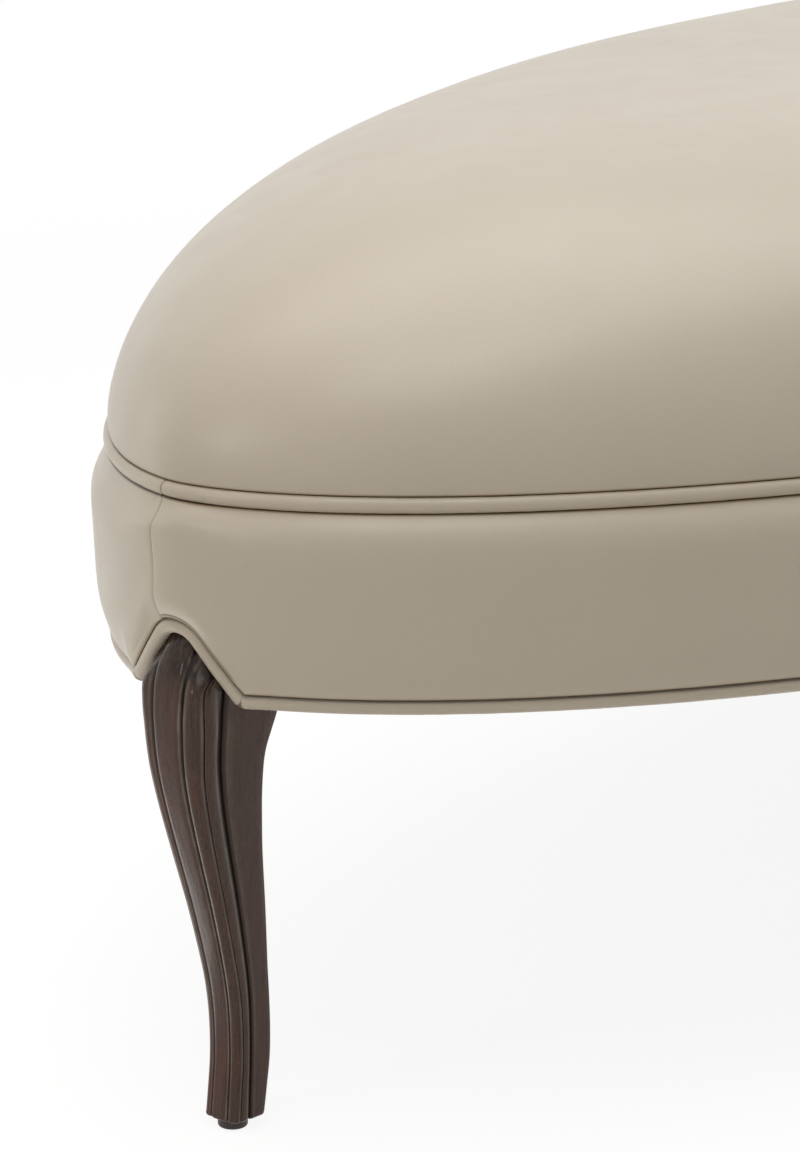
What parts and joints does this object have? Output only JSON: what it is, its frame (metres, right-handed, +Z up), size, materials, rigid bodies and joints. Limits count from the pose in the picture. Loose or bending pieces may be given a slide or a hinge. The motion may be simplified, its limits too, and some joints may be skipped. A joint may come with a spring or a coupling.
{
  "type": "upholstered bench",
  "caption": "Oval upholstered bed bench with a domed tight seat, a piped band that arches over reeded cabriole legs, and a hardwood frame inside.",
  "frame": {"origin": "on the floor, under the centre of the seat oval", "axes": "+X along the bench's length, +Y across it towards the back, +Z up"},
  "size_m": [1.6968, 0.7268, 0.49],
  "materials": {
    "upholstery": "smooth satin cream-taupe cover",
    "welt": "the same cover wrapped round a cord",
    "dark_wood": "dark brown stained hardwood, satin lacquer",
    "frame_wood": "plain pale hardwood, sanded",
    "foam": "open-cell seat foam",
    "wadding": "soft polyester wadding",
    "hessian": "coarse plain-woven jute",
    "webbing": "woven elastic webbing",
    "dust_cloth": "thin black bonded cloth",
    "steel": "zinc-plated steel",
    "glide": "dark brown moulded plastic"
  },
  "bodies": {
    "root": {"leg_left": "dark_wood", "leg_right": "dark_wood", "leg_front": "dark_wood", "leg_back": "dark_wood", "glide_left": "glide", "glide_right": "glide", "glide_front": "glide", "glide_back": "glide", "glide_nails": "steel", "rail_front_left": "frame_wood", "rail_front_right": "frame_wood", "rail_back_left": "frame_wood", "rail_back_right": "frame_wood", "leg_block_left": "frame_wood", "leg_block_right": "frame_wood", "leg_block_front": "frame_wood", "leg_block_back": "frame_wood", "cross_rail_left": "frame_wood", "cross_rail_middle": "frame_wood", "cross_rail_right": "frame_wood", "frame_dowels": "frame_wood", "block_screws": "steel", "seat_webbing": "webbing", "seat_hessian": "hessian", "seat_foam": "foam", "seat_wadding": "wadding", "seat_cover": "upholstery", "band_padding_front": "wadding", "band_padding_back": "wadding", "band_front": "upholstery", "band_back": "upholstery", "upper_welt": "welt", "lower_welt": "welt", "dust_cover": "dust_cloth", "dust_cover_staples": "steel"}
  },
  "joints": []
}
